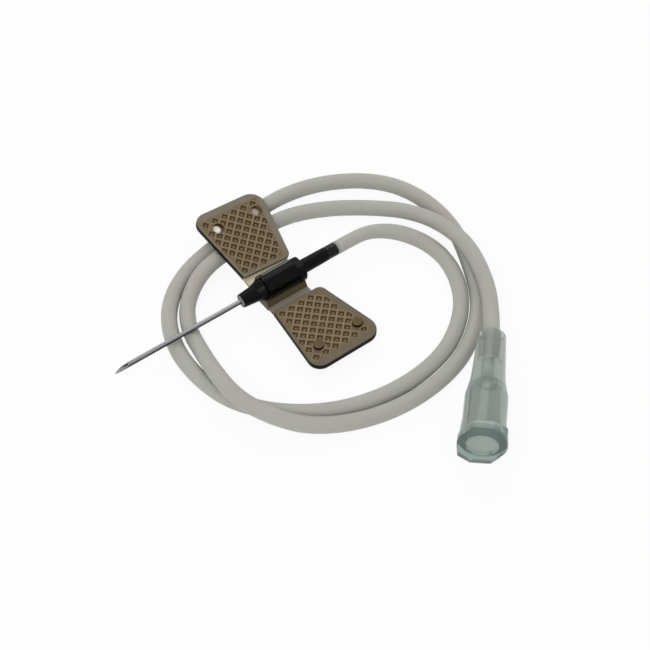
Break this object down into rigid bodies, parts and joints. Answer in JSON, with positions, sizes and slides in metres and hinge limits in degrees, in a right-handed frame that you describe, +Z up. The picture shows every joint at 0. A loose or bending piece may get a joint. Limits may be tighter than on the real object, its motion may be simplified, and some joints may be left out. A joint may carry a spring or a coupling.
{
  "type": "winged infusion needle",
  "caption": "Winged infusion needle: bevelled steel cannula in a black hub, folding smoke-coloured wings with a lattice grip, coiled clear tubing and a female luer connector.",
  "frame": {"origin": "centre of the hub's nose face, where the needle comes out of the hub", "axes": "+X out along the needle to its tip, +Y towards the left wing (the one with pegs), +Z up from the table; the set rests on the plane Z = -2.9 mm"},
  "size_m": [0.0553, 0.0562, 0.008],
  "materials": {
    "cannula": "drawn stainless steel, polished",
    "needle_adhesive": "cured grey adhesive",
    "hub": "gloss black moulding",
    "wing_sleeve": "smoke-tinted soft PVC",
    "left_wing": "smoke-tinted soft PVC",
    "right_wing": "smoke-tinted soft PVC",
    "tube": "clear soft PVC tubing",
    "connector": "pale green translucent moulding"
  },
  "bodies": {
    "hub": {"cannula": "cannula", "needle_adhesive": "needle_adhesive", "hub": "hub", "wing_sleeve": "wing_sleeve", "tube": "tube", "connector": "connector"},
    "left_wing": {"left_wing": "left_wing"},
    "right_wing": {"right_wing": "right_wing"}
  },
  "joints": [
    {"name": "left_wing_fold", "type": "hinge", "parent": "hub", "child": "left_wing", "pos_m": [-0.0064, 0.003, -0.00148], "axis": [1, 0, 0], "range_deg": [0, 96], "stiffness_Nm_per_rad": 0.0002},
    {"name": "right_wing_fold", "type": "hinge", "parent": "hub", "child": "right_wing", "pos_m": [-0.0071, -0.003, -0.00148], "axis": [-0.9962, 0, -0.0872], "range_deg": [0, 83], "stiffness_Nm_per_rad": 0.0002}
  ]
}
